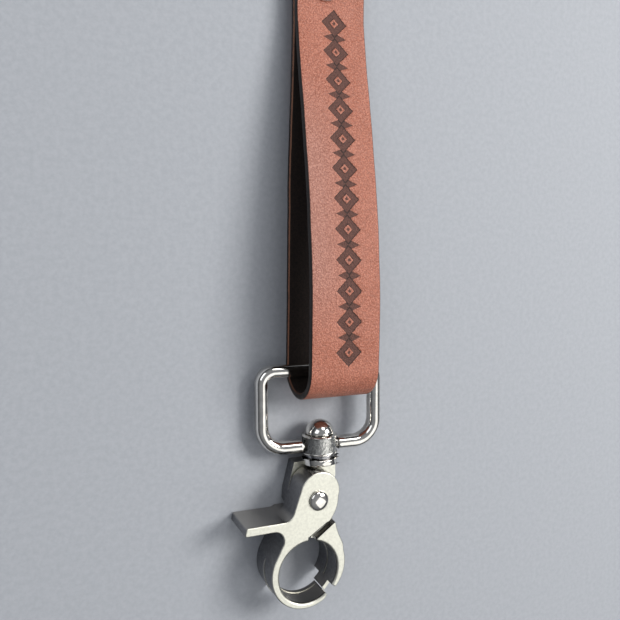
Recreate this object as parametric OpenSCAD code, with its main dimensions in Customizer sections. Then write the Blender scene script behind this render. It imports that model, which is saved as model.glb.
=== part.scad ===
// Strap keychain: a leather strip folded through a wire ring, closed by one cap rivet,
// with a swivelling scissor snap hook. It lies flat on its back, hook towards -Y.
// Positions in the modules are taken from the swivel axis (x), the ring's hook-side bar (y)
// and the table (z); the whole part is then centred over the origin.

/* [Strap] */
// Width of the leather strip
strap_w = 17.3; // [12:0.1:20]
// Thickness of the leather
leather_t = 1.5; // [1:0.1:2]
// Greatest height of the folded loop, outside to outside
loop_h = 14.6; // [12:0.1:18]
// Sideways place of the strap's centre line
strap_x = 1.9; // [0:0.1:2]
// Distance from the ring's strap-side bar to the rivet
rivet_reach = 88; // [80:0.5:100]
// Leather left beyond the rivet's centre
strap_tail = 10; // [8:0.5:14]
// Turn of the strap about the ring's bar as it lies, in degrees
strap_turn = -1; // [-3:0.1:1]

/* [Rivet] */
// Sideways place of the rivet from the strap's centre line
rivet_x = -1.7; // [-3:0.1:3]
// Diameter of the rivet's two caps
cap_d = 7.8; // [7:0.1:9]
// Height of the lower cap, which the strap's end stands on
cap_low_h = 1.65; // [1.2:0.05:2]
// Height of the domed upper cap
cap_top_h = 2; // [1.5:0.1:2.5]
// Diameter of the rivet's post
post_d = 3; // [2:0.1:3.5]

/* [Ring] */
// Clear width inside the ring, for a 1 inch strap
ring_in_w = 25.4; // [24:0.1:28]
// Distance between the axes of the ring's two long bars
ring_pitch = 18.3; // [17:0.1:20]
// Width of the ring's oval wire, in the ring's plane
wire_w = 3; // [2.8:0.1:3.4]
// Depth of the ring's oval wire, across the ring's plane
wire_h = 4; // [3.6:0.1:4.2]
// Diameter of the round pegs at the wire's two ends
peg_d = 2.4; // [2:0.1:2.6]
// Depth of the ring's plane behind the swivel axis
ring_drop = 0.2; // [0:0.05:0.25]
// Bend radius of the wire's axis at the strap-side corners
bend_far = 2.9; // [2:0.1:4]
// Bend radius of the wire's axis at the hook-side corners
bend_near = 5.4; // [4:0.1:7]
// Lean of the ring about the swivel axis as it lies, in degrees
ring_lean = 5.5; // [0:0.5:6]

/* [Swivel] */
// Height of the swivel axis above the table
axis_z = 4.6; // [4.6:0.1:5]
// Diameter of the barrel that holds the ring's two wire ends
barrel_d = 8.6; // [8:0.1:9]
// Length of the barrel
barrel_l = 4.65; // [4.4:0.05:5]
// Diameter of the swivel rivet's shank
shank_d = 3; // [2.8:0.1:3.2]
// Diameter of the swivel rivet's domed head
dome_d = 7; // [6:0.1:7.4]
// Height of the swivel rivet's domed head
dome_h = 3.35; // [2.5:0.05:3.5]
// Thickness of the hook's round flange
flange_h = 1.5; // [1.4:0.05:1.6]

/* [Hook] */
// Depth of the hook, back to front
hook_d = 10.4; // [9.8:0.1:11]
// Thickness of the body's rear plate at the pivot
plate_t = 3.65; // [3.4:0.05:3.8]
// Radius of the round eye between the two jaws
eye_r = 7.3; // [7:0.1:7.4]
// Diameter of the pivot rivet's shank
pivot_d = 2.8; // [2.6:0.1:3]
// Diameter of the pivot rivet's domed head
pivot_head_d = 4.7; // [4.4:0.1:5]
// Thickness of the thumb tab
tab_t = 2; // [1.8:0.1:2.4]

/* [Spring] */
// Diameter of the torsion spring's wire
spring_wire_d = 0.6; // [0.5:0.05:0.65]
// Mean radius of the torsion spring's coil
spring_r = 2.5; // [2.3:0.1:2.6]
// Number of turns in the coil
spring_turns = 3.25; // [3.25:1:4.25]

/* [Hidden] */
$fn = 96;

// Clearances: running fit, face to face, between hook halves, and press interference
run_gap = 0.05;
face_gap = 0.1;
half_gap = 0.3;
press = 0.01;

// Where things stand along the part
far_bar_y = ring_pitch;
rivet_y = far_bar_y + rivet_reach;
strap_end_y = rivet_y + strap_tail;
fold_r = (loop_h - leather_t) / 2;
fold_y = far_bar_y + 1;
flat_y = rivet_y - 7;
layer_gap = 0.04;
low_z = cap_low_h + leather_t / 2;
top_z = low_z + leather_t + layer_gap;

// Swivel stack, from the dome down to the flange
barrel_y1 = 2.7;
barrel_y0 = barrel_y1 - barrel_l;
washer_h = 0.7;
washer_y1 = barrel_y0 - face_gap;
flange_y1 = washer_y1 - washer_h;
flange_y0 = flange_y1 - flange_h;
shank_y0 = flange_y0 + 0.3;
peg_end = shank_d / 2 + 0.8;
wire_end = barrel_d / 2 + 0.1;

// Hook layout
pivot = [-3, -11.3];
boss = [-2.5, -9.75];
boss_r = 5.05;
cheek_r = 5.5;
eye = [-5.5, -28];
jaw = [-5.9, -27.8];
jaw_r = 8.8;
horn = [-4.9, -26.9];
horn_r = 8.85;
tab_tip = [-20.9, -15.9];
lever_tip_a = 307.5;
body_tip_a = -39.5;
nose_a = -52.4;
nose_z = [3.2, 8];
nose_t = 1;
split_a = 250;
tab_back_y = -14.7;
ledge_z = 8.4;
ledge_w = 0.9;
pocket_r = 3.6;
pocket_h = 3.4;
head_h = 1.2;
tail_h = 0.6;
reach = 40;

// Middle of the whole part, which the origin stands under
ring_side_x = (ring_in_w + wire_w) / 2;
ring_half = ring_side_x * cos(ring_lean) + wire_w / 2
    + ((wire_h - wire_w) / 2 + ring_drop) * sin(ring_lean);
top_y = far_bar_y + (strap_end_y - far_bar_y) * cos(strap_turn)
    + strap_w / 2 * sin(abs(strap_turn));
mid = [(ring_half + tab_tip[0]) / 2, (top_y + jaw[1] - jaw_r) / 2];

// Points on an arc about c from angle a0 to a1
function arc(c, r, a0, a1, n = 16) =
    [for (i = [0:n]) let (a = a0 + (a1 - a0) * i / n) c + r * [cos(a), sin(a)]];
// One point on a Bezier curve, and a run of n + 1 of them
function bezier_at(p, t) =
    len(p) == 1 ? p[0] : bezier_at([for (i = [0:len(p) - 2]) (1 - t) * p[i] + t * p[i + 1]], t);
function bezier(p, n = 16) = [for (i = [0:n]) bezier_at(p, i / n)];
// The line p moved sideways by d
function side_of(p, i) =
    let (q = p[min(i + 1, len(p) - 1)] - p[max(i - 1, 0)]) [-q[1], q[0]] / norm(q);
function shifted(p, d) = [for (i = [0:len(p) - 1]) p[i] + d * side_of(p, i)];
function reversed(p) = [for (i = [len(p) - 1:-1:0]) p[i]];

// Centre line of the folded strip in (y, z): lower half, fold, then upper half
strip_line = concat(
    [[strap_end_y, low_z]],
    bezier([[flat_y, low_z], [84, low_z], [72, leather_t / 2], [58, leather_t / 2]], 12),
    [[38, leather_t / 2]],
    arc([fold_y, leather_t / 2 + fold_r], fold_r, 270, 90, 30),
    bezier([[fold_y + 2, loop_h - leather_t / 2], [42, loop_h], [62, loop_h - 2.2],
            [88, top_z + 1.2], [flat_y, top_z]], 30),
    [[strap_end_y, top_z]]);

module placed() { translate([-mid[0], -mid[1], 0]) children(); }
// The strap's own frame has its origin under the middle of the ring's strap-side bar
module strap_placed() {
    placed() translate([strap_x, far_bar_y, 0]) rotate(strap_turn) translate([0, -far_bar_y, 0])
        children();
}
module about_pivot(z = 0) { translate([pivot[0], pivot[1], z]) children(); }
// A cylinder along the swivel axis from y0 to y1
module along_y(r, y0, y1) {
    translate([0, y1, axis_z]) rotate([90, 0, 0]) cylinder(r = r, h = y1 - y0);
}
// A low dome of the given diameter and height, on a short straight rim
module dome(d, h, rim = 0.3) {
    r = (pow(d / 2, 2) + pow(h - rim, 2)) / (2 * (h - rim));
    cylinder(d = d, h = rim);
    translate([0, 0, rim]) intersection() {
        translate([0, 0, h - rim - r]) sphere(r = r);
        cylinder(d = d, h = h);
    }
}

module leather_strap() {
    color("saddlebrown") strap_placed() difference() {
        translate([-strap_w / 2, 0, 0]) rotate([90, 0, 90]) linear_extrude(strap_w)
            polygon(concat(shifted(strip_line, leather_t / 2),
                           reversed(shifted(strip_line, -leather_t / 2))));
        translate([rivet_x, rivet_y, 0]) cylinder(d = post_d + 0.2, h = loop_h);
    }
}

module strap_rivet_cap() {
    color("silver") strap_placed() translate([rivet_x, rivet_y, top_z + leather_t / 2 + 0.02])
        difference() {
            dome(cap_d, cap_top_h, 0.5);
            translate([0, 0, -1]) cylinder(d = post_d - 2 * press, h = 2);
        }
}

module strap_rivet_post() {
    color("silver") strap_placed() translate([rivet_x, rivet_y, 0]) {
        translate([0, 0, cap_low_h - 0.02]) mirror([0, 0, 1]) difference() {
            dome(cap_d, cap_low_h - 0.02, 0.7);
            translate([0, 0, cap_low_h - 0.12]) cylinder(d = cap_d, h = 1);
        }
        translate([0, 0, cap_low_h - 0.1])
            cylinder(d = post_d, h = top_z + leather_t / 2 + 0.9 - cap_low_h + 0.1);
    }
}

// The ring's own flat frame has its origin just behind the swivel axis
module leaning() {
    translate([0, 0, axis_z]) rotate([0, -ring_lean, 0]) translate([0, 0, -ring_drop]) children();
}
// Oval section of the wire
module wire_section() {
    square([wire_w, wire_h - wire_w], center = true);
    for (z = [-1, 1] * (wire_h - wire_w) / 2)
        translate([0, z]) circle(d = wire_w);
}
module wire_x(x0, x1, y) {
    translate([x0, y, 0]) rotate([90, 0, 90]) linear_extrude(x1 - x0) wire_section();
}
module wire_y(x, y0, y1) {
    translate([x, y1, 0]) rotate([90, 0, 0]) linear_extrude(y1 - y0) wire_section();
}
module wire_bend(x, y, r, turn) {
    translate([x, y, 0]) rotate(turn) rotate_extrude(angle = 90)
        translate([r, 0]) wire_section();
}
// The round peg that a wire end carries into the barrel
module peg(d) {
    translate([peg_end, 0, 0]) rotate([0, 90, 0]) cylinder(d = d, h = wire_end + 0.1 - peg_end);
}
module ring_side() {
    peg(peg_d);
    wire_x(wire_end, ring_side_x - bend_near, 0);
    wire_bend(ring_side_x - bend_near, bend_near, bend_near, 270);
    wire_y(ring_side_x, bend_near, far_bar_y - bend_far);
    wire_bend(ring_side_x - bend_far, far_bar_y - bend_far, bend_far, 0);
}
module ring_wire() {
    half_bar = ring_side_x - bend_far;
    color("gainsboro") placed() leaning() union() {
        ring_side();
        mirror([1, 0, 0]) ring_side();
        wire_x(-half_bar, half_bar, far_bar_y);
    }
}

module swivel_barrel() {
    color("dimgray") placed() difference() {
        along_y(barrel_d / 2, barrel_y0, barrel_y1);
        along_y(shank_d / 2 + run_gap, barrel_y0 - 1, barrel_y1 + 1);
        leaning() {
            peg(peg_d - 2 * press);
            mirror([1, 0, 0]) peg(peg_d - 2 * press);
        }
    }
}

module swivel_washer() {
    color("dimgray") placed() difference() {
        along_y(barrel_d / 2 - 0.7, flange_y1, washer_y1);
        along_y(shank_d / 2 + run_gap, flange_y1 - 1, washer_y1 + 1);
    }
}

module swivel_rivet() {
    color("silver") placed() {
        translate([0, barrel_y1 + face_gap, axis_z]) rotate([-90, 0, 0]) dome(dome_d, dome_h, 0.6);
        along_y(shank_d / 2, shank_y0, barrel_y1 + face_gap + 0.3);
    }
}

// Outline of the lever, seen from the front, with the eye still filled in
lever_outline = concat(
    arc(boss, boss_r, 165, -5, 26),
    arc([-6.3, -10.9], 8.6, 0, -44, 12),
    [[-0.75, -17.05], [-5.45, -19.85]],
    [eye],
    [jaw + (jaw_r - 0.3) * [cos(lever_tip_a), sin(lever_tip_a)]],
    arc(jaw, jaw_r, 300, 157, 28),
    arc([-14, -19.4], 2.4, -35, 88, 12),
    [[tab_tip[0] + 0.4, tab_tip[1] - tab_t / 2 + 0.05], [tab_tip[0], tab_tip[1] - tab_t / 2 + 0.4],
     [tab_tip[0] + 0.45, tab_tip[1] + tab_t / 2 + 0.05], [tab_tip[0] + 0.9, tab_tip[1] + tab_t / 2 + 0.1]],
    arc([-11.4, -12.75], 2.35, -92, -20, 8));

// The lever's rear half stops at the body's rear plate, so that it can turn past it
module lever_rear_cut() {
    about_pivot(-1) cylinder(r = cheek_r + half_gap, h = plate_t + half_gap + 1);
    translate([0, 0, -1]) linear_extrude(plate_t + half_gap + 1) {
        translate(pivot) rotate(split_a) translate([0, -half_gap]) square([reach, reach]);
        translate([pivot[0] - reach, tab_back_y]) square([2 * reach, reach]);
    }
}

module hook_lever() {
    color("lightgray") placed() difference() {
        linear_extrude(hook_d) polygon(lever_outline);
        lever_rear_cut();
        translate([eye[0], eye[1], -1]) cylinder(r = eye_r, h = hook_d + 2);
        about_pivot() cylinder(d = pivot_d + 2 * run_gap, h = hook_d + 1);
        about_pivot(plate_t) cylinder(r = pocket_r, h = pocket_h);
    }
}

// Upper edge of the body's jaw, along the lever
jaw_edge = [[1.5, -17.25], [-3.3, -20.35]];

// Right jaw of the body at full depth, with the eye still filled in
horn_outline = concat(
    jaw_edge,
    [[-3.5, -21.3]],
    [eye],
    arc(horn, horn_r, body_tip_a - 5, 16, 16),
    bezier([[3.55, -23.2], [3.3, -22], [2.1, -20.6], [1.5, -17.25]], 8));

// Lower step that fills most of the gap between the jaw's upper edge and the lever
ledge_outline = concat(
    jaw_edge, [[-3.5, -21.3], [-4.2, -21]], reversed(shifted(jaw_edge, -ledge_w)));

// Rear plate of the body: shoulders, cheek behind the lever's boss, and the root of the jaw
plate_outline = concat(
    [[-6.2, flange_y0 + 0.4], [4.8, flange_y0 + 0.4], [4.8, -8.6], [3.6, -14], [1.5, -17.25], [3, -23], eye],
    [pivot + 9.6 * [cos(split_a), sin(split_a)], pivot + cheek_r * [cos(split_a), sin(split_a)]],
    arc(pivot, cheek_r, 245, 200, 10), [[-7.95, -10.6]]);

module hook_body() {
    color("lightgray") placed() difference() {
        union() {
            linear_extrude(hook_d) polygon(horn_outline);
            linear_extrude(plate_t) polygon(plate_outline);
            linear_extrude(ledge_z) polygon(ledge_outline);
            along_y(barrel_d / 2, flange_y0, flange_y1);
            translate([0, 0, nose_z[0]]) linear_extrude(nose_z[1] - nose_z[0])
                polygon([eye, eye + (eye_r + nose_t) * [cos(nose_a), sin(nose_a)],
                         eye + (eye_r + nose_t) * [cos(body_tip_a + 5), sin(body_tip_a + 5)]]);
        }
        translate([eye[0], eye[1], -1]) cylinder(r = eye_r, h = hook_d + 2);
        about_pivot(-1) cylinder(d = pivot_d - 2 * press, h = hook_d + 2);
        about_pivot(-1) cylinder(r = pivot_d / 2 + 1, h = tail_h + 1.1);
        along_y(shank_d / 2 - press, shank_y0 + 0.01, flange_y1 + 1);
        translate([0, 0, -reach]) cube([2 * reach, 2 * reach, 2 * reach], center = true);
    }
}

module pivot_rivet() {
    color("silver") placed() about_pivot() {
        translate([0, 0, hook_d + 0.05]) dome(pivot_head_d, head_h, 0.25);
        translate([0, 0, 0.1]) cylinder(d = pivot_d, h = hook_d + 0.2);
        translate([0, 0, 0.1]) cylinder(r = pivot_d / 2 + 0.8, h = tail_h);
    }
}

// Torsion spring: a coil about the pivot with one leg into the plate and one against the lever
spring_steps = 20;
spring_sides = 8;
function spring_point(t) =
    let (a = 360 * spring_turns * t, pitch = spring_wire_d + 0.1)
    [spring_r * cos(a), spring_r * sin(a), pitch * spring_turns * t];
spring_line = concat(
    [[spring_r, -0.02, -0.5]],
    [for (i = [0:spring_steps * spring_turns]) spring_point(i / (spring_steps * spring_turns))],
    [spring_point(1) + [-0.9, 0, 0]]);
spring_count = len(spring_line);
function spring_along(i) =
    let (q = spring_line[min(i + 1, spring_count - 1)] - spring_line[max(i - 1, 0)]) q / norm(q);
function spring_ring(i) =
    let (t = spring_along(i),
         u = let (c = cross(t, [0.3, 0.2, 1])) c / norm(c),
         v = cross(t, u))
    [for (k = [0:spring_sides - 1]) let (a = 360 * k / spring_sides)
        spring_line[i] + spring_wire_d / 2 * (cos(a) * u + sin(a) * v)];

module torsion_spring() {
    n = spring_sides;
    points = [for (i = [0:spring_count - 1]) each spring_ring(i)];
    walls = [for (i = [0:spring_count - 2], k = [0:n - 1])
        [i * n + k, i * n + (k + 1) % n, (i + 1) * n + (k + 1) % n, (i + 1) * n + k]];
    ends = [[for (k = [n - 1:-1:0]) k], [for (k = [0:n - 1]) (spring_count - 1) * n + k]];
    color("gray") placed() about_pivot(plate_t + spring_wire_d / 2 + 0.15)
        polyhedron(points = points, faces = concat(walls, ends));
}

leather_strap();
strap_rivet_cap();
strap_rivet_post();
ring_wire();
swivel_barrel();
swivel_washer();
swivel_rivet();
hook_body();
hook_lever();
pivot_rivet();
torsion_spring();
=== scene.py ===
"""The looks of the strap keychain: leather strip, oval ring, swivel and scissor snap hook.

Lengths in the tables below are in millimetres and are measured from the swivel axis (x), the
ring's hook-side bar (y) and the floor (z), as in the CAD source. at() turns them into metres
in the row frame.
"""

from math import asin, cos, hypot, pi, radians, sin

import bmesh
import bpy
from mathutils import Matrix, Vector, noise


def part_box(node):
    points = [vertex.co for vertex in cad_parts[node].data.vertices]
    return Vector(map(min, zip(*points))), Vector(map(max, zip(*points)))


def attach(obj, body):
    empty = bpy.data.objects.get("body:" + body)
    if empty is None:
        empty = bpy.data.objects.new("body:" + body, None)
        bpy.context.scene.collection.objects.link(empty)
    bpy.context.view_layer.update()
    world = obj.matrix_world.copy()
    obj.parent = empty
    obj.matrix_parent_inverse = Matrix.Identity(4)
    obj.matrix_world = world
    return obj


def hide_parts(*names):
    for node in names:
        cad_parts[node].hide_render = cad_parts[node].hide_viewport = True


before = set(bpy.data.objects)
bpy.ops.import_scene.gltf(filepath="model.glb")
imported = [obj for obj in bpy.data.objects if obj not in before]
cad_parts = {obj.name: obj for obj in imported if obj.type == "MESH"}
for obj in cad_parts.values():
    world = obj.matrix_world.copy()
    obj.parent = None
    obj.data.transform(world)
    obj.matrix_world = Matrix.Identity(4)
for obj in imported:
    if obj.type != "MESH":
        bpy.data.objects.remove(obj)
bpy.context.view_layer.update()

MM = 0.001
rivet_low, rivet_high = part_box("swivel_rivet")
barrel_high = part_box("swivel_barrel")[1]
AXIS_X = (rivet_low.x + rivet_high.x) / 2
AXIS_Z = 4.6
BARREL = (-1.95, 2.7)
BAR_Y = barrel_high.y - BARREL[1] * MM
scene = bpy.context.scene


def at(x, y, z=0.0):
    """A point given in millimetres, in the row frame."""
    return Vector((AXIS_X + x * MM, BAR_Y + y * MM, z * MM))


# ---------------------------------------------------------------- meshes


def lerp(a, b, t):
    return a + (b - a) * t


def arc(centre, radius, start, end, steps):
    """Points on an arc, angles in degrees."""
    return [
        (
            centre[0] + radius * cos(radians(lerp(start, end, i / steps))),
            centre[1] + radius * sin(radians(lerp(start, end, i / steps))),
        )
        for i in range(steps + 1)
    ]


def bezier(points, steps):
    """Points on a Bezier curve of any degree."""
    found = []
    for i in range(steps + 1):
        level = [Vector(p) for p in points]
        while len(level) > 1:
            level = [a.lerp(b, i / steps) for a, b in zip(level, level[1:])]
        found.append(tuple(level[0]))
    return found


def mesh_object(name, verts, faces, sharp=35):
    """A smooth-shaded mesh with edges over the sharp angle kept sharp."""
    mesh = bpy.data.meshes.new(name)
    mesh.from_pydata([tuple(v) for v in verts], [], faces)
    obj = bpy.data.objects.new(name, mesh)
    scene.collection.objects.link(obj)
    outward(obj)
    shade(obj, sharp)
    return obj


def outward(obj):
    """Merges doubled points and turns every face outwards."""
    made = bmesh.new()
    made.from_mesh(obj.data)
    bmesh.ops.remove_doubles(made, verts=made.verts, dist=1e-7)
    bmesh.ops.recalc_face_normals(made, faces=made.faces)
    made.to_mesh(obj.data)
    made.free()


def shade(obj, sharp):
    obj.data.polygons.foreach_set("use_smooth", [True] * len(obj.data.polygons))
    obj.data.set_sharp_from_angle(angle=radians(sharp))


def lathe(name, profile, origin, axis, steps=96, sharp=35, offset=None):
    """A profile of (radius, height) points turned about an axis through origin. A profile that
    begins and ends on the axis makes a solid; any other is closed into a ring."""
    axis = Vector(axis).normalized()
    turn = Vector((0, 0, 1)).rotation_difference(axis).to_matrix()
    verts, rows = [], []
    for r, h in profile:
        if r < 1e-6:
            rows.append([len(verts)] * steps)
            verts.append(origin + turn @ Vector((0, 0, h * MM)))
            continue
        rows.append(list(range(len(verts), len(verts) + steps)))
        for k in range(steps):
            a = 2 * pi * k / steps
            point = Vector((r * cos(a), r * sin(a), h))
            if offset:
                point += offset(point)
            verts.append(origin + turn @ (point * MM))
    solid = profile[0][0] < 1e-6 and profile[-1][0] < 1e-6
    pairs = list(zip(rows, rows[1:]))
    if not solid:
        pairs.append((rows[-1], rows[0]))
    faces = []
    for low, high in pairs:
        for k in range(steps):
            n = (k + 1) % steps
            corners = [low[k], low[n], high[n], high[k]]
            kept = [c for i, c in enumerate(corners) if c not in corners[:i]]
            if len(kept) > 2:
                faces.append(kept)
    return mesh_object(name, verts, faces, sharp)


def rounded(profile, radius, steps=4):
    """The same profile with its inner corners rounded by radius, in millimetres."""
    found = [profile[0]]
    for a, b, c in zip(profile, profile[1:], profile[2:]):
        p, q, s = Vector(a), Vector(b), Vector(c)
        back, on = p - q, s - q
        if back.length < 1e-6 or on.length < 1e-6 or back.angle(on) > radians(165):
            found.append(b)
            continue
        reach = min(radius, back.length * 0.45, on.length * 0.45)
        start, end = q + back.normalized() * reach, q + on.normalized() * reach
        for i in range(steps + 1):
            t = i / steps
            found.append(tuple(start.lerp(q, t).lerp(q.lerp(end, t), t)))
    found.append(profile[-1])
    return found


def sweep(name, path, section, sizes=None, up=Vector((0, 0, 1)), sharp=40):
    """A section of (sideways, up) points in millimetres carried along a path of row points,
    scaled at each of them by sizes."""
    verts, faces, count = [], [], len(section)
    for i, p in enumerate(path):
        along = (path[min(i + 1, len(path) - 1)] - path[max(i - 1, 0)]).normalized()
        side = along.cross(up).normalized()
        lift = side.cross(along).normalized()
        size = sizes[i] * MM if sizes else MM
        verts += [p + (side * u + lift * v) * size for u, v in section]
    for i in range(len(path) - 1):
        for k in range(count):
            n = (k + 1) % count
            a, b = i * count, (i + 1) * count
            faces.append([a + k, a + n, b + n, b + k])
    faces.append(list(range(count))[::-1])
    faces.append([(len(path) - 1) * count + k for k in range(count)])
    return mesh_object(name, verts, faces, sharp)


def applied(obj):
    """The object with its modifiers made part of its mesh."""
    graph = bpy.context.evaluated_depsgraph_get()
    mesh = bpy.data.meshes.new_from_object(
        obj.evaluated_get(graph), preserve_all_data_layers=True, depsgraph=graph
    )
    old = obj.data
    obj.modifiers.clear()
    obj.data = mesh
    bpy.data.meshes.remove(old)
    return obj


def boolean(obj, tool, operation="DIFFERENCE"):
    """Cuts tool from obj, or adds it, and removes tool."""
    change = obj.modifiers.new("Change", "BOOLEAN")
    change.operation = operation
    change.solver = "EXACT"
    change.object = tool
    applied(obj)
    bpy.data.objects.remove(tool)
    return obj


def joined(obj, other):
    """Adds the mesh of other to obj and removes other."""
    made = bmesh.new()
    made.from_mesh(obj.data)
    made.from_mesh(other.data)
    made.to_mesh(obj.data)
    made.free()
    bpy.data.objects.remove(other)
    return obj


def flat_normals(obj, sharp):
    """Shades the flat faces flat and leaves the turn of the light to the rounded edges."""
    shade(obj, sharp)
    weighted = obj.modifiers.new("Normals", "WEIGHTED_NORMAL")
    weighted.weight = 100
    weighted.keep_sharp = True
    return applied(obj)


def rounded_copy(node, name, width, share):
    """A copy of a CAD node with its flat faces whole again and its outer edges rounded. share
    tells what part of the width each edge gets, by its two ends in row points."""
    merge, flat_within, edge_from = 0.002 * MM, radians(0.6), radians(32)
    obj = bpy.data.objects.new(name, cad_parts[node].data.copy())
    scene.collection.objects.link(obj)
    made = bmesh.new()
    made.from_mesh(obj.data)
    bmesh.ops.remove_doubles(made, verts=made.verts, dist=merge)
    bmesh.ops.dissolve_limit(
        made, angle_limit=flat_within, verts=made.verts, edges=made.edges
    )
    bmesh.ops.recalc_face_normals(made, faces=made.faces)
    weights = made.edges.layers.float.new("bevel_weight_edge")
    for edge in made.edges:
        if edge.calc_face_angle_signed(0) > edge_from:
            edge[weights] = share(*(v.co for v in edge.verts))
    made.to_mesh(obj.data)
    made.free()
    obj.data.materials.clear()
    obj.data.polygons.foreach_set("use_smooth", [True] * len(obj.data.polygons))
    bevel = obj.modifiers.new("Round", "BEVEL")
    bevel.width = width * MM
    bevel.segments = 3
    bevel.limit_method = "WEIGHT"
    bevel.miter_outer = "MITER_ARC"
    bevel.use_clamp_overlap = False
    return applied(obj)


def finished(obj, body, nodes, slot, *materials):
    """Gives a piece its materials and its body, and hides the CAD nodes that it stands for. slot is
    not used.
    """
    for m in materials:
        obj.data.materials.append(m)
    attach(obj, body)
    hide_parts(*nodes)
    return obj


# ---------------------------------------------------------------- materials


class Paint:
    """A node material being built, with one Principled shader."""

    def __init__(self, name, metallic=0.0, roughness=0.5):
        self.material = bpy.data.materials.new(name)
        self.material.use_nodes = True
        self.tree = self.material.node_tree
        self.shader = self.tree.nodes["Principled BSDF"]
        self.shader.inputs["Metallic"].default_value = metallic
        self.shader.inputs["Roughness"].default_value = roughness

    def node(self, kind, inputs=(), **settings):
        made = self.tree.nodes.new(kind)
        for key, value in settings.items():
            setattr(made, key, value)
        for key, value in dict(inputs).items():
            if isinstance(value, bpy.types.NodeSocket):
                self.tree.links.new(value, made.inputs[key])
            else:
                made.inputs[key].default_value = value
        return made

    def maths(self, operation, a, b=0.0, c=0.0):
        return self.node(
            "ShaderNodeMath", {0: a, 1: b, 2: c}, operation=operation
        ).outputs[0]

    def spread(self, value, low, high, to_low=0.0, to_high=1.0):
        """value taken from the range low..high to to_low..to_high, clamped and eased."""
        return self.node(
            "ShaderNodeMapRange",
            {0: value, 1: low, 2: high, 3: to_low, 4: to_high},
            interpolation_type="SMOOTHSTEP",
        ).outputs[0]

    def between(self, factor, a, b):
        """A mix of two numbers, each a socket or a value."""
        return self.node(
            "ShaderNodeMix", {0: factor, 2: a, 3: b}, data_type="FLOAT"
        ).outputs[0]

    def mix(self, factor, a, b):
        """A mix of two colours, each a socket or (r, g, b)."""
        made = self.node("ShaderNodeMix", data_type="RGBA")
        for key, value in ((0, factor), (6, a), (7, b)):
            if isinstance(value, bpy.types.NodeSocket):
                self.tree.links.new(value, made.inputs[key])
            elif key:
                made.inputs[key].default_value = (*value, 1)
            else:
                made.inputs[key].default_value = value
        return made.outputs[2]

    def millimetres(self, stretch=(1, 1, 1)):
        """Object coordinates in millimetres, so that a pattern stays on its piece."""
        place = self.node("ShaderNodeTexCoord").outputs["Object"]
        scale = [s / MM for s in stretch]
        return self.node(
            "ShaderNodeVectorMath", {0: place, 1: scale}, operation="MULTIPLY"
        ).outputs[0]

    def cloud(self, vector, scale, detail=4.0, roughness=0.55, distortion=0.0):
        return self.node(
            "ShaderNodeTexNoise",
            {
                "Vector": vector,
                "Scale": scale,
                "Detail": detail,
                "Roughness": roughness,
                "Distortion": distortion,
            },
        ).outputs[0]

    def cells(self, vector, scale):
        return self.node(
            "ShaderNodeTexVoronoi", {"Vector": vector, "Scale": scale}
        ).outputs["Distance"]

    def bump(self, height, depth, under=None):
        """A bump of that depth in millimetres, on top of another."""
        inputs = {"Height": height, "Strength": 1.0, "Distance": depth * MM}
        if under is not None:
            inputs["Normal"] = under
        return self.node("ShaderNodeBump", inputs).outputs[0]

    def wire(self, **sockets):
        for key, value in sockets.items():
            self.tree.links.new(value, self.shader.inputs[key.replace("_", " ").title()])
        return self.material


def polished_metal(name, colour, roughness):
    """Plated and buffed: faint hairlines and a little haze."""
    p = Paint(name, metallic=1.0)
    where = p.millimetres()
    haze = p.cloud(where, 0.6, 3)
    lines = p.cloud(p.millimetres((6, 0.5, 6)), 1.5, 3)
    tint = tuple(c * 0.86 for c in colour)
    shade_of = p.mix(p.spread(haze, 0.3, 0.75), tint, colour)
    rough = p.spread(haze, 0.3, 0.7, roughness * 0.7, roughness * 1.5)
    return p.wire(
        base_color=shade_of, roughness=rough, normal=p.bump(lines, 0.002)
    )


def cast_metal(name, face, wall, lit, rough_face, rough_wall, pit=0.02, blotch=0.28):
    """Cast and plated: faces towards +Z or -Z keep the rubbed finish, bright and smoother; walls
    are painted a darker grey, painted shade, with a paler, warmer painted reflection where they
    face the strap."""
    p = Paint(name, metallic=1.0)
    where = p.millimetres()
    turned = p.node(
        "ShaderNodeSeparateXYZ", {0: p.node("ShaderNodeTexCoord").outputs["Normal"]}
    )
    # painted shade: walls turned away from +Z and -Z get the darker wall colour, faces the bright
    # one
    face_not_shaded_wall = p.spread(p.maths("ABSOLUTE", turned.outputs[2]), 0.35, 0.92)
    # painted reflection: walls facing +Y, towards the strap, take the paler, warmer lit colour
    painted_strap_reflection = p.spread(turned.outputs[1], 0.3, 0.95)
    mottle = p.cloud(where, 1.6, 5, 0.6)
    grit = p.cloud(where, 9.0, 3, 0.6)
    dark = tuple(c * (1 - blotch) for c in wall)
    side = p.mix(p.spread(mottle, 0.35, 0.65), dark, wall)
    side = p.mix(painted_strap_reflection, side, lit)
    front = p.mix(p.spread(mottle, 0.35, 0.65), tuple(c * 0.88 for c in face), face)
    ripple = p.bump(mottle, pit)
    return p.wire(
        base_color=p.mix(face_not_shaded_wall, side, front),
        roughness=p.between(face_not_shaded_wall, rough_wall, rough_face),
        normal=p.bump(grit, 0.006, under=ripple),
    )


# ---------------------------------------------------------------- camera, floor and light

camera = bpy.data.objects.new("camera", bpy.data.cameras.new("camera"))
scene.collection.objects.link(camera)
camera.location = at(-61.967, 43.876, 134.634)
camera.rotation_euler = (-0.0787, -0.4304, -0.0046)
camera.data.sensor_width = 36
camera.data.lens = 35.63
camera.data.clip_start = 0.005
camera.data.clip_end = 20
scene.camera = camera


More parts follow.
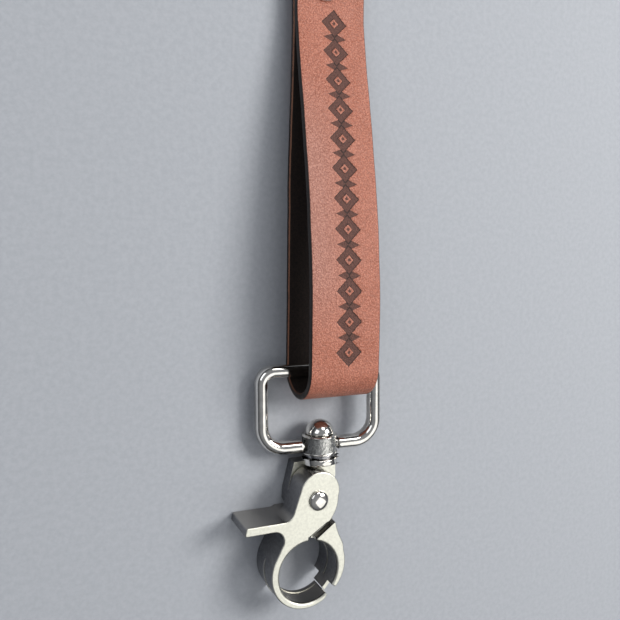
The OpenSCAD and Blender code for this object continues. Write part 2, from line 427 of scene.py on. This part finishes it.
def soft_light(name, place, aim, size, watts, colour=(1, 1, 1)):
    lamp = bpy.data.lights.new(name, "AREA")
    lamp.shape = "RECTANGLE"
    lamp.size, lamp.size_y = size
    lamp.energy = watts
    lamp.color = colour
    obj = bpy.data.objects.new(name, lamp)
    scene.collection.objects.link(obj)
    obj.location = place
    obj.rotation_euler = (Vector(aim) - Vector(place)).to_track_quat("-Z", "Y").to_euler()


soft_light("key", (0.5, 0.2, 0.56), (0, -0.01, 0), (0.3, 0.34), 4.6, (1, 0.985, 0.95))
soft_light("panel", (0.3, -0.36, 0.6), (0, -0.06, 0), (0.5, 0.7), 1.25, (1, 0.99, 0.95))
soft_light("back", (0.2, 0.62, 0.55), (0, 0.06, 0), (0.3, 0.24), 1.2)
soft_light("fill", (-0.55, 0.35, 0.55), (0, 0, 0), (0.5, 0.4), 0.9, (0.93, 0.96, 1))

world = bpy.data.worlds.new("studio")
scene.world = world
world.use_nodes = True
sky = world.node_tree
rising = sky.nodes.new("ShaderNodeSeparateXYZ")
sky.links.new(sky.nodes.new("ShaderNodeTexCoord").outputs["Generated"], rising.inputs[0])
ramp = sky.nodes.new("ShaderNodeValToRGB")
ramp.color_ramp.elements[0].position = 0.0
ramp.color_ramp.elements[0].color = (0.07, 0.08, 0.1, 1)
ramp.color_ramp.elements[1].position = 0.85
ramp.color_ramp.elements[1].color = (0.8, 0.82, 0.86, 1)
sky.links.new(rising.outputs[2], ramp.inputs[0])
sky.links.new(ramp.outputs[0], sky.nodes["Background"].inputs[0])
sky.nodes["Background"].inputs[1].default_value = 0.34

floor_mesh = bpy.data.meshes.new("floor")
half_floor, floor_z = 2.5, -0.00004
floor_mesh.from_pydata(
    [(x, y, floor_z) for x, y in ((-1, -1), (1, -1), (1, 1), (-1, 1))], [], [(0, 1, 2, 3)]
)
floor_mesh.transform(Matrix.Diagonal((half_floor, half_floor, 1, 1)))
floor = bpy.data.objects.new("floor", floor_mesh)
scene.collection.objects.link(floor)
ground = Paint("floor_grey", roughness=0.8)
dust = ground.cloud(ground.millimetres(), 0.8, 6, 0.7)
floor_mesh.materials.append(
    ground.wire(
        base_color=ground.mix(
            ground.spread(dust, 0.3, 0.7), (0.40, 0.42, 0.46), (0.45, 0.47, 0.51)
        ),
        normal=ground.bump(dust, 0.01),
    )
)

# ---------------------------------------------------------------- leather strap

STRAP_W, LEATHER_T = 17.3, 1.5
STRAP_X, STRAP_TURN = 1.9, radians(-1)
FAR_BAR_Y = 18.3
RIVET_X, RIVET_Y = -1.7, FAR_BAR_Y + 88
FLAT_Y = RIVET_Y - 7
STRAP_END = RIVET_Y + 10
LOW_Z, TOP_Z = 2.4, 3.94
FOLD_R = 6.55


def strap_point(x, y, z):
    """A point in the strap's own frame, which turns about the ring's bar."""
    dy = y - FAR_BAR_Y
    c, s = cos(STRAP_TURN), sin(STRAP_TURN)
    return at(STRAP_X + x * c - dy * s, FAR_BAR_Y + x * s + dy * c, z)


strip_line = (
    [(STRAP_END, LOW_Z)]
    + bezier(((FLAT_Y, LOW_Z), (84, LOW_Z), (72, 0.75), (58, 0.75)), 60)
    + [(38, 0.75)]
    + arc((FAR_BAR_Y + 1, 0.75 + FOLD_R), FOLD_R, 270, 90, 120)
    + bezier(
        ((FAR_BAR_Y + 3, 13.85), (42, 14.6), (62, 12.4), (88, TOP_Z + 1.2), (FLAT_Y, TOP_Z)), 160
    )
    + [(STRAP_END, TOP_Z)]
)


def along_line(line):
    """Distances along a line of points."""
    found = [0.0]
    for a, b in zip(line, line[1:]):
        found.append(found[-1] + hypot(b[0] - a[0], b[1] - a[1]))
    return found


strip_s = along_line(strip_line)
STRIP_LENGTH = strip_s[-1]


def on_strip(s):
    """(y, z) of the strip's centre line at a distance s."""
    i = 0
    while i < len(strip_s) - 2 and strip_s[i + 1] < s:
        i += 1
    t = (s - strip_s[i]) / (strip_s[i + 1] - strip_s[i])
    (y0, z0), (y1, z1) = strip_line[i], strip_line[i + 1]
    return lerp(y0, y1, t), lerp(z0, z1, t)


def smooth_strip(s):
    """The place on the strip, and its direction taken over a short stretch."""
    here = on_strip(s)
    a, b = on_strip(max(0, s - 0.8)), on_strip(min(STRIP_LENGTH, s + 0.8))
    d = Vector((b[0] - a[0], b[1] - a[1])).normalized()
    return here, d


FOLD_START = next(s for s, p in zip(strip_s, strip_line) if p[0] < FAR_BAR_Y + 1.01)
FOLD_END = max(s for s, p in zip(strip_s, strip_line) if p[0] < FAR_BAR_Y + 1.01)
MARK_START, MARK_PITCH, MARK_COUNT = FOLD_END + 0.6, 6.85, 12
MARK_X = 0.65
MARK_LONG, MARK_WIDE, MARK_HOLLOW, MARK_DOT = 3.25, 3.2, 0.34, 0.15
DOT_LONG, DOT_WIDE = 1.25, 2.9
MARK_ROW = MARK_COUNT * MARK_PITCH
MARK_DEPTH = 0.16


def ornament(s, x):
    """1 on the engraved row of lozenges, 0 off it, with walls 0.3 mm wide between the two."""
    from_start = s - MARK_START
    if not 0 < from_start < MARK_ROW:
        return 0.0
    step = from_start % MARK_PITCH - MARK_PITCH / 2
    across = abs(x - MARK_X)
    big = abs(step) / MARK_LONG + across / MARK_WIDE
    small = (MARK_PITCH / 2 - abs(step)) / DOT_LONG + across / DOT_WIDE
    inward = max(min(big - MARK_HOLLOW, 1 - big), MARK_DOT - big) * 2.3
    if DOT_LONG < from_start < MARK_ROW - DOT_LONG:
        inward = max(inward, (1 - small) * 1.15)
    return max(0.0, min(1.0, 0.5 + inward / 0.3))


def strap_stations():
    """Distances along the strip, close together in the fold and under the ornament."""
    found, s = [], 0.0
    mark_end = MARK_START + MARK_ROW
    while s < STRIP_LENGTH - 0.05:
        found.append(s)
        if MARK_START - 0.3 < s < mark_end + 0.3:
            s += 0.2
        elif FOLD_START - 1 < s < FOLD_END + 2:
            s += 0.45
        else:
            s += 1.0
    return found + [STRIP_LENGTH]


def strap_section():
    """(x, n) round the strip's section; n is 1 on the grain face and -1 on the other."""
    half, r = STRAP_W / 2, 0.42
    flat_x = half - r
    dense = [MARK_X - 3.5 + 0.2 * i for i in range(36)]
    outer = [-flat_x + (dense[0] + flat_x) * i / 9 for i in range(9)] + dense
    outer += [dense[-1] + (flat_x - dense[-1]) * i / 9 for i in range(1, 10)]
    inner = [flat_x - 2 * flat_x * i / 12 for i in range(13)]
    top = LEATHER_T / 2
    points = [(x, top) for x in outer]
    right = arc((flat_x, top - r), r, 90, 0, 4)[1:]
    right += arc((flat_x, r - top), r, 0, -90, 4)[:-1]
    points += right + [(x, -top) for x in inner]
    points += [(-x, n) for x, n in reversed(right)]
    return points


def strip_material(depths):
    """0 on the grain face, 1 on the flesh face and 2 on the cut edges."""
    if min(depths) > LEATHER_T / 2 - 0.05:
        return 0
    return 1 if max(depths) < 0.05 - LEATHER_T / 2 else 2


def leather_strip():
    """The strip with its slight waves, its engraved row and its flat coordinates."""
    section, stations = strap_section(), strap_stations()
    verts, faces, flat_uv, depths = [], [], [], []
    for s in stations:
        (y, z), d = smooth_strip(s)
        out = Vector((-d.y, d.x))
        for x, n in section:
            wave = 0.05 * noise.noise(Vector((s * 0.09, x * 0.12, 3.1)))
            edge_wave = 0.09 * noise.noise(Vector((s * 0.16, 7.7 if x > 0 else 1.3, 0.4)))
            lift = n + wave * (1 if n > 0 else 0.4)
            if n > LEATHER_T / 2 - 0.01:
                lift -= MARK_DEPTH * ornament(s, x)
            wide = x * (1 + edge_wave / (STRAP_W / 2))
            verts.append(strap_point(wide, y + out.x * lift, z + out.y * lift))
            flat_uv.append((s, x))
            depths.append(n)
    count = len(section)
    for i in range(len(stations) - 1):
        a, b = i * count, (i + 1) * count
        for k in range(count):
            n = (k + 1) % count
            faces.append([a + k, a + n, b + n, b + k])
    faces.append(list(range(count))[::-1])
    faces.append([(len(stations) - 1) * count + k for k in range(count)])
    mesh = bpy.data.meshes.new("strap_leather")
    mesh.from_pydata([tuple(v) for v in verts], [], faces)
    uv = mesh.uv_layers.new(name="flat")
    for loop in mesh.loops:
        uv.data[loop.index].uv = flat_uv[loop.vertex_index]
    mesh.attributes.new("depth", "FLOAT", "POINT").data.foreach_set("value", depths)
    for polygon in mesh.polygons:
        polygon.material_index = strip_material([depths[v] for v in polygon.vertices])
    made = bmesh.new()
    made.from_mesh(mesh)
    bmesh.ops.recalc_face_normals(made, faces=made.faces)
    made.to_mesh(mesh)
    made.free()
    obj = bpy.data.objects.new("strap_leather", mesh)
    scene.collection.objects.link(obj)
    shade(obj, 50)
    return obj


strap = leather_strip()
hole = lathe(
    "hole",
    [(0, -1), (1.6, -1), (1.6, 8), (0, 8)],
    strap_point(RIVET_X, RIVET_Y, 0),
    (0, 0, 1),
    48,
)
boolean(strap, hole)


def leather_grain():
    """The grain side: warm red-brown, fine creases and pores, a painted sheen on the upper half,
    painted highlights and shade on the grain, and the engraved row burnt darker.
    """
    p = Paint("leather_grain", roughness=0.5)
    flat = p.node("ShaderNodeUVMap", uv_map="flat").outputs[0]
    parts = p.node("ShaderNodeSeparateXYZ", {0: flat})
    s, x = parts.outputs[0], parts.outputs[1]
    patch = p.cloud(flat, 0.16, 4, 0.6)
    fine = p.cloud(flat, 2.3, 5, 0.66)
    slanted = p.node(
        "ShaderNodeMapping",
        {"Vector": flat, "Rotation": (0, 0, radians(-17)), "Scale": (2.3, 0.7, 1)},
    ).outputs[0]
    crease = p.cloud(slanted, 0.95, 5, 0.62, 0.6)
    pebble = p.cells(flat, 2.6)
    tone = p.mix(p.spread(patch, 0.3, 0.7), (0.475, 0.143, 0.08), (0.55, 0.188, 0.118))
    # painted sheen: a greyish-pink patch on the left of the upper half, standing for a reflection
    # of the surroundings
    painted_sheen = p.maths(
        "MULTIPLY",
        p.spread(s, FOLD_END + 4, FOLD_END + 24),
        p.spread(s, FOLD_END + 74, FOLD_END + 44),
    )
    painted_sheen = p.maths("MULTIPLY", painted_sheen, p.spread(x, 3.5, -7.5, 0.0, 0.75))
    tone = p.mix(painted_sheen, tone, (0.5, 0.25, 0.2))
    # fine speckle: the grain's own tone, with painted highlight on the light specks and painted
    # shade on the dark ones in the bump's hollows
    tone = p.mix(p.spread(fine, 0.45, 0.62, 0.0, 0.45), tone, (0.7, 0.34, 0.25))
    tone = p.mix(p.spread(fine, 0.5, 0.34, 0.0, 0.5), tone, (0.28, 0.085, 0.05))
    tone = p.mix(p.spread(crease, 0.5, 0.64, 0.0, 0.32), tone, (0.25, 0.08, 0.048))
    # pebbles: their own tone, with painted shade in the seams where the bump is low and painted
    # highlight on their tops
    tone = p.mix(p.spread(pebble, 0.36, 0.62, 0.0, 0.42), tone, (0.27, 0.08, 0.046))
    tone = p.mix(p.spread(pebble, 0.28, 0.06, 0.0, 0.26), tone, (0.76, 0.36, 0.26))

    start = p.maths("SUBTRACT", s, MARK_START)
    step = p.maths("SUBTRACT", p.maths("MODULO", start, MARK_PITCH), MARK_PITCH / 2)
    away = p.maths("ABSOLUTE", step)
    across = p.maths("ABSOLUTE", p.maths("SUBTRACT", x, MARK_X))
    big = p.maths(
        "ADD", p.maths("DIVIDE", away, MARK_LONG), p.maths("DIVIDE", across, MARK_WIDE)
    )
    gap = p.maths("SUBTRACT", MARK_PITCH / 2, away)
    small = p.maths(
        "ADD", p.maths("DIVIDE", gap, DOT_LONG), p.maths("DIVIDE", across, DOT_WIDE)
    )
    rough_edge = p.spread(fine, 0.3, 0.7, -0.03, 0.03)
    big = p.maths("ADD", big, rough_edge)
    inside = p.maths(
        "MULTIPLY", p.maths("GREATER_THAN", big, MARK_HOLLOW), p.maths("LESS_THAN", big, 1.0)
    )
    between = p.maths(
        "MULTIPLY",
        p.maths("GREATER_THAN", start, DOT_LONG),
        p.maths("LESS_THAN", start, MARK_ROW - DOT_LONG),
    )
    dots = p.maths(
        "MAXIMUM",
        p.maths("LESS_THAN", big, MARK_DOT),
        p.maths("MULTIPLY", p.maths("LESS_THAN", small, 1.0), between),
    )
    in_row = p.maths(
        "MULTIPLY",
        p.maths("GREATER_THAN", start, 0.0),
        p.maths("LESS_THAN", start, MARK_ROW),
    )
    mark = p.maths("MULTIPLY", p.maths("MAXIMUM", inside, dots), in_row)
    near_rim = p.maths(
        "MINIMUM",
        p.maths("ABSOLUTE", p.maths("SUBTRACT", big, 1.0)),
        p.maths("ABSOLUTE", p.maths("SUBTRACT", big, MARK_HOLLOW)),
    )
    rim = p.maths("MULTIPLY", mark, p.spread(near_rim, 0.1, 0.03))
    burnt = p.mix(p.spread(fine, 0.35, 0.65), (0.088, 0.034, 0.026), (0.155, 0.066, 0.05))
    burnt = p.mix(rim, burnt, (0.032, 0.012, 0.009))
    colour = p.mix(mark, tone, burnt)
    height = p.maths("MULTIPLY", crease, 0.6)
    relief = p.bump(fine, 0.1, under=p.bump(height, 0.26))
    relief = p.bump(p.maths("SUBTRACT", 1.0, pebble), 0.1, under=relief)
    rough = p.maths("ADD", p.spread(fine, 0.3, 0.7, 0.4, 0.58), p.maths("MULTIPLY", mark, 0.25))
    return p.wire(base_color=colour, roughness=rough, normal=relief)


def leather_flesh():
    """The inner side: nearly black, matt and fibrous, its own dark colour deepened by painted shade
    of the loop's inside.
    """
    p = Paint("leather_flesh", roughness=0.85)
    flat = p.node("ShaderNodeUVMap", uv_map="flat").outputs[0]
    fibres = p.cloud(flat, 1.7, 6, 0.7, 0.8)
    colour = p.mix(p.spread(fibres, 0.3, 0.7), (0.011, 0.007, 0.006), (0.032, 0.019, 0.014))
    return p.wire(base_color=colour, normal=p.bump(fibres, 0.08))


def leather_edge():
    """The cut edge: burnished nearly black, with a brown line along its inner rim that is clear
    on the lower half of the strap and only in traces on the upper."""
    p = Paint("leather_edge", roughness=0.45)
    flat = p.node("ShaderNodeUVMap", uv_map="flat").outputs[0]
    s = p.node("ShaderNodeSeparateXYZ", {0: flat}).outputs[0]
    depth = p.node("ShaderNodeAttribute", attribute_name="depth").outputs["Fac"]
    grit = p.cloud(flat, 1.4, 5, 0.65)
    worn = p.cloud(flat, 0.35, 3, 0.6)
    shifted = p.maths("ADD", depth, p.spread(grit, 0.3, 0.7, -0.12, 0.12))
    inner_rim = p.spread(shifted, -0.3, -0.52)
    lower = p.spread(s, FOLD_END - 2, FOLD_START - 4)
    traces = p.spread(worn, 0.62, 0.72, 0.0, 0.5)
    clear = p.spread(worn, 0.3, 0.5, 0.45, 1.0)
    line = p.maths("MULTIPLY", inner_rim, p.between(lower, traces, clear))
    dark = p.mix(p.spread(grit, 0.35, 0.65), (0.009, 0.006, 0.005), (0.022, 0.013, 0.01))
    colour = p.mix(line, dark, (0.3, 0.125, 0.066))
    return p.wire(base_color=colour, normal=p.bump(grit, 0.05))


finished(
    strap,
    "strap",
    ["leather_strap"],
    "leather",
    leather_grain(),
    leather_flesh(),
    leather_edge(),
)

# ---------------------------------------------------------------- metal finishes

nickel = polished_metal("nickel_polished", (0.82, 0.8, 0.76), 0.08)
nickel_rivet = polished_metal("nickel_rivet", (0.97, 0.96, 0.93), 0.3)
# painted shade: the barrel's sides away from +Z and -Z get the dark wall colour, only its top and
# bottom the bright one
barrel_metal = cast_metal(
    "nickel_barrel",
    (0.6, 0.6, 0.58),
    (0.2, 0.2, 0.2),
    (0.2, 0.2, 0.2),
    0.26,
    0.26,
    0.11,
    blotch=0.5,
)
# painted shade on the hook's walls, with painted reflection where they face the strap
satin = cast_metal(
    "nickel_satin", (0.78, 0.775, 0.69), (0.28, 0.28, 0.29), (0.42, 0.4, 0.37), 0.4, 0.27, 0.012
)
spring_steel = polished_metal("spring_steel", (0.42, 0.42, 0.44), 0.25)

# ---------------------------------------------------------------- strap rivet

cap_base = TOP_Z + LEATHER_T / 2 + 0.02
cap_profile = rounded(
    [(0, 2.0), (1.2, 1.93), (2.3, 1.66), (3.2, 1.18), (3.75, 0.62), (3.9, 0.3), (3.8, 0.0)]
    + [(1.49, 0.0), (1.49, 0.95), (0, 0.95)],
    0.25,
)
cap = lathe("rivet_cap", cap_profile, strap_point(RIVET_X, RIVET_Y, cap_base), (0, 0, 1), 96)
finished(cap, "strap", ["strap_rivet_cap"], "rivet_steel", nickel_rivet)

post_profile = rounded(
    [(0, 0.12), (2.6, 0.14), (3.5, 0.55), (3.9, 1.05), (3.85, 1.55), (1.5, 1.55)]
    + [(1.5, cap_base + 0.9), (0, cap_base + 0.9)],
    0.2,
)
post = lathe("rivet_post", post_profile, strap_point(RIVET_X, RIVET_Y, 0), (0, 0, 1), 96)
finished(post, "strap", ["strap_rivet_post"], "rivet_steel", nickel_rivet)

# ---------------------------------------------------------------- ring

RING_IN_W, WIRE_W, WIRE_H = 25.4, 3.0, 4.0
BEND_FAR, BEND_NEAR = 2.9, 5.4
RING_DROP, RING_LEAN = 0.2, radians(5.5)
RING_SIDE = (RING_IN_W + WIRE_W) / 2
WIRE_END, PEG_END, PEG_R = 4.4, 2.3, 1.2


def leaning(x, y, z=0.0):
    """A point in the ring's own flat frame, which leans about the swivel axis."""
    c, s = cos(RING_LEAN), sin(RING_LEAN)
    z -= RING_DROP
    return at(x * c - z * s, y, AXIS_Z + x * s + z * c)


def straight(a, b, steps):
    return [(lerp(a[0], b[0], i / steps), lerp(a[1], b[1], i / steps)) for i in range(steps)]


half_ring = (
    [(WIRE_END + d, 0) for d in (0, 0.05, 0.14, 0.28)]
    + straight((WIRE_END + 0.6, 0), (RING_SIDE - BEND_NEAR, 0), 8)
    + arc((RING_SIDE - BEND_NEAR, BEND_NEAR), BEND_NEAR, -90, 0, 28)[:-1]
    + straight((RING_SIDE, BEND_NEAR), (RING_SIDE, FAR_BAR_Y - BEND_FAR), 10)
    + arc((RING_SIDE - BEND_FAR, FAR_BAR_Y - BEND_FAR), BEND_FAR, 0, 90, 20)[:-1]
    + straight((RING_SIDE - BEND_FAR, FAR_BAR_Y), (0, FAR_BAR_Y), 10)
)
ring_line = half_ring + [(0, FAR_BAR_Y)] + [(-x, y) for x, y in reversed(half_ring)]
wire_section = [
    (u, v + (WIRE_H - WIRE_W) / 2) for u, v in arc((0, 0), WIRE_W / 2, 0, 180, 18)
]
wire_section += [(-u, -v) for u, v in wire_section]
ring_up = (leaning(0, 0, 1) - leaning(0, 0, 0)).normalized()
end_sizes = [0.8, 0.91, 0.98, 1.0]
ring_sizes = end_sizes + [1.0] * (len(ring_line) - 8) + end_sizes[::-1]
ring = sweep(
    "ring_oval", [leaning(x, y) for x, y in ring_line], wire_section, ring_sizes, ring_up
)


def peg(side, radius):
    """The round peg that a wire end carries into the barrel."""
    profile = [(0, PEG_END), (radius, PEG_END), (radius, WIRE_END + 0.5), (0, WIRE_END + 0.5)]
    out = leaning(side, 0) - leaning(0, 0)
    return lathe("peg", profile, leaning(0, 0), out, 48)


for side in (-1, 1):
    boolean(ring, peg(side, PEG_R), "UNION")
shade(ring, 40)
finished(ring, "ring", ["ring_wire"], "polished_nickel", nickel)

# ---------------------------------------------------------------- swivel

axis_at = at(0, 0, AXIS_Z)
barrel_profile = rounded(
    [(1.55, BARREL[0]), (3.95, BARREL[0]), (4.3, BARREL[0] + 0.2), (4.3, BARREL[0] + 0.5)]
    + [(4.15, BARREL[0] + 0.62), (4.15, BARREL[1] - 0.5), (4.3, BARREL[1] - 0.4)]
    + [(4.3, BARREL[1] - 0.2), (3.95, BARREL[1]), (1.55, BARREL[1])],
    0.12,
)


def cast_skin(point):
    """The uneven surface that a casting has between its two rims."""
    r = hypot(point.x, point.y)
    if not 4.1 < r < 4.2:
        return Vector((0, 0, 0))
    bump = 0.09 * noise.noise(point * 1.5) + 0.04 * noise.noise(point * 4.1)
    return Vector((point.x / r * bump, point.y / r * bump, 0))


tall = []
for (r0, h0), (r1, h1) in zip(barrel_profile, barrel_profile[1:]):
    steps = max(1, int(abs(h1 - h0) / 0.25))
    tall += [(lerp(r0, r1, i / steps), lerp(h0, h1, i / steps)) for i in range(steps)]
barrel = lathe(
    "barrel", tall + [barrel_profile[-1]], axis_at, (0, 1, 0), 128, offset=cast_skin
)
for side in (-1, 1):
    boolean(barrel, peg(side, PEG_R - 0.01))
rim_low, rim_high = at(0, BARREL[0] + 0.56).y, at(0, BARREL[1] - 0.45).y
for polygon in barrel.data.polygons:
    polygon.material_index = 0 if rim_low < polygon.center.y < rim_high else 1
finished(barrel, "ring", ["swivel_barrel"], "cast_nickel", barrel_metal, nickel)

FLANGE, FLANGE_SKIN, FLANGE_LOW_Z = (-4.25, -2.75), 3.4, 3.7
washer_y = (FLANGE[1], -2.05)
washer_profile = rounded(
    [(1.55, washer_y[0]), (3.6, washer_y[0]), (3.6, washer_y[1]), (1.55, washer_y[1])], 0.12
)
washer = lathe("washer", washer_profile, axis_at, (0, 1, 0), 96)
finished(washer, "hook", ["swivel_washer"], "cast_nickel", spring_steel)

dome_y = BARREL[1] + 0.1
dome_r = (3.5**2 + 2.75**2) / (2 * 2.75)
dome_arc = [
    (dome_r * sin(a), dome_y + 3.35 - dome_r + dome_r * cos(a))
    for a in [asin(3.5 / dome_r) * i / 24 for i in range(25)]
]
dome_profile = dome_arc + [(3.5, dome_y + 0.25), (3.3, dome_y), (1.5, dome_y), (1.5, -3.95)]
dome_profile += [(0, -3.95)]
dome = lathe("swivel_dome", dome_profile, axis_at, (0, 1, 0), 96)
finished(dome, "hook", ["swivel_rivet"], "polished_nickel", nickel)

# ---------------------------------------------------------------- hook

EYE, JAW, HORN = (-5.5, -28), (-5.9, -27.8), (-4.9, -26.9)
EYE_R, JAW_R, HORN_R = 7.3, 8.8, 8.85
PARTING_Z = 5.2
STEP_END, STEP_REACH = (-3.6, -20.9), 1.6
BETWEEN_FACES = (2.9, 8.6)
ROUNDING = 0.64


def aside(point, centre):
    """How far a row point is from a place on the hook's outline, in millimetres."""
    return (point - at(*centre)).to_2d().length / MM


def parting_line(obj, centre, radius, start, end):
    """The fine ridge that a two-part mould leaves along a jaw's wall."""
    path = [at(x, y, PARTING_Z) for x, y in arc(centre, radius, start, end, 60)]
    sizes = [0.3, 0.7] + [1.0] * (len(path) - 4) + [0.7, 0.3]
    section = [(0.19, 0), (0.1, 0.14), (-0.1, 0.16), (-0.19, 0), (-0.1, -0.16), (0.1, -0.14)]
    joined(obj, sweep("ridge", path, section, sizes, sharp=80))


def rounding(a, b):
    """What part of the rounding an edge gets: all of it on the rims of the eye, half of it
    elsewhere, and little on the small features between the faces and where the step ends."""
    if all(BETWEEN_FACES[0] * MM < p.z < BETWEEN_FACES[1] * MM for p in (a, b)):
        return 0.1
    level = abs(a.z - b.z) < 0.01 * MM
    if level and abs(aside((a + b) / 2, EYE) - EYE_R) < 0.12:
        return 1.0
    return 0.2 if any(aside(p, STEP_END) < STEP_REACH for p in (a, b)) else 0.5


body = rounded_copy("hook_body", "hook_frame", ROUNDING, rounding)
parting_line(body, EYE, EYE_R, -36, 55)
parting_line(body, HORN, HORN_R, -41, 13)
flat_normals(body, 35)
finished(body, "hook", ["hook_body"], "satin_nickel", satin, nickel)
flange_low, flange_high = at(0, FLANGE[0] + 0.05).y, at(0, FLANGE[1] + 0.1).y
for polygon in body.data.polygons:
    middle = polygon.center
    from_axis = hypot(middle.x - AXIS_X, middle.z - AXIS_Z * MM)
    on_flange = flange_low < middle.y < flange_high and from_axis > FLANGE_SKIN * MM
    polygon.material_index = 1 if on_flange and middle.z > FLANGE_LOW_Z * MM else 0

lever = rounded_copy("hook_lever", "hook_thumb_lever", ROUNDING, rounding)
parting_line(lever, EYE, EYE_R, 303, 130)
parting_line(lever, JAW, JAW_R, 297, 162)
flat_normals(lever, 35)
finished(lever, "lever", ["hook_lever"], "satin_nickel", satin)

PIVOT = (-3.0, -11.3)
head_z = 10.45
pivot_profile = [(0, head_z + 1.2)]
pivot_profile += [
    (2.35 * sin(radians(t)), head_z + 0.25 + 0.95 * cos(radians(t))) for t in range(9, 91, 9)
]
pivot_profile += [(2.3, head_z + 0.05), (1.4, head_z), (1.4, 0.75), (2.2, 0.62), (2.2, 0.2)]
pivot_profile += [(2.05, 0.1), (0, 0.1)]
pin = lathe("pivot_pin", pivot_profile, at(*PIVOT), (0, 0, 1), 64)
finished(pin, "hook", ["pivot_rivet"], "polished_nickel", nickel)

spring_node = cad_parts["torsion_spring"]
spring_node.data.materials.clear()
spring_node.data.materials.append(spring_steel)

# ---------------------------------------------------------------- colour management

scene.view_settings.view_transform = "Standard"
scene.view_settings.look = "None"
